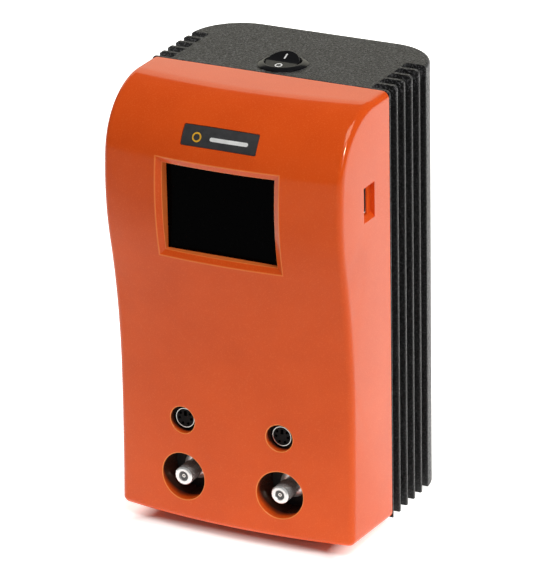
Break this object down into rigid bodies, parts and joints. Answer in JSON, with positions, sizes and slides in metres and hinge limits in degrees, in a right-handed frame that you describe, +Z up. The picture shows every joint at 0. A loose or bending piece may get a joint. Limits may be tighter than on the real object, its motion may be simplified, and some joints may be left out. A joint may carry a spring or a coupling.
{
  "type": "soldering iron station",
  "caption": "Tall bench soldering station: orange swept front with display, tool outlets and side data socket, black finned metal housing, top rocker switch.",
  "frame": {"origin": "centre of the bounding box's underside, where the rubber feet stand", "axes": "+Z up; the display faces -Y; +X is the side with the data socket"},
  "size_m": [0.13, 0.1283, 0.2336],
  "materials": {
    "orange_shell": "satin",
    "black_powder_coat": "fine speckled satin",
    "charcoal_badge": "fine speckled satin",
    "display_glass": "gloss",
    "display_panel": "gloss",
    "switch_black": "satin",
    "inlet_black": "satin",
    "socket_black": "satin",
    "nickel": "satin",
    "gold_contact": "gloss",
    "white_insulator": "satin",
    "steel_sheet": "brushed",
    "zinc_screw": "satin",
    "black_screw": "satin",
    "circuit_board": "solder mask",
    "ribbon_grey": "satin",
    "core_iron": "satin",
    "winding_tape": "satin",
    "capacitor_sleeve": "satin",
    "bare_aluminium": "satin",
    "transistor_black": "satin",
    "lead_sleeve": "satin",
    "fuse_glass": "gloss",
    "label_film": "satin",
    "foot_rubber": "matte"
  },
  "bodies": {
    "station": {"accessory_contacts": "gold_contact", "accessory_shells": "nickel", "base_plate": "black_powder_coat", "base_screws": "black_screw", "board_link_ribbon": "ribbon_grey", "bulkhead_screws": "zinc_screw", "capacitors": "capacitor_sleeve", "coax_contacts": "gold_contact", "coax_insulators": "white_insulator", "coax_nuts": "nickel", "control_board": "circuit_board", "control_chips": "socket_black", "control_screws": "zinc_screw", "control_standoffs": "zinc_screw", "cover_screws": "black_screw", "display_board": "circuit_board", "display_module": "display_panel", "display_ribbon": "ribbon_grey", "display_screws": "zinc_screw", "display_window": "display_glass", "finned_housing": "black_powder_coat", "front_bulkhead": "steel_sheet", "front_cover": "orange_shell", "ground_jack": "nickel", "ground_jack_nut": "nickel", "heat_bridges": "bare_aluminium", "inlet_blades": "zinc_screw", "inlet_screws": "black_screw", "left_accessory_socket": "socket_black", "left_coax_body": "nickel", "mains_leads": "lead_sleeve", "name_plate": "charcoal_badge", "output_board": "circuit_board", "output_legs": "steel_sheet", "output_plate": "steel_sheet", "output_screws": "zinc_screw", "power_board": "circuit_board", "power_inlet": "inlet_black", "power_screws": "zinc_screw", "power_standoffs": "zinc_screw", "power_transistors": "transistor_black", "rating_label": "label_film", "rf_shield": "steel_sheet", "right_accessory_socket": "socket_black", "right_coax_body": "nickel", "rubber_foot_front_left": "foot_rubber", "rubber_foot_front_right": "foot_rubber", "rubber_foot_rear_left": "foot_rubber", "rubber_foot_rear_right": "foot_rubber", "switch_body": "switch_black", "switch_terminals": "zinc_screw", "transformer_core": "core_iron", "transformer_winding": "winding_tape", "usb_shell": "nickel", "usb_tongue": "socket_black"},
    "switch_rocker": {"rocker": "switch_black"},
    "fuse_carrier": {"fuse_drawer": "inlet_black", "fuses": "fuse_glass"}
  },
  "joints": [
    {"name": "rocker_tilt", "type": "hinge", "parent": "station", "child": "switch_rocker", "pos_m": [0, 0.00886, 0.2277], "axis": [-1, 0, 0], "range_deg": [0, 30]},
    {"name": "fuse_drawer_slide", "type": "slide", "parent": "station", "child": "fuse_carrier", "axis": [0, 1, 0], "range_m": [0, 0.02]}
  ]
}
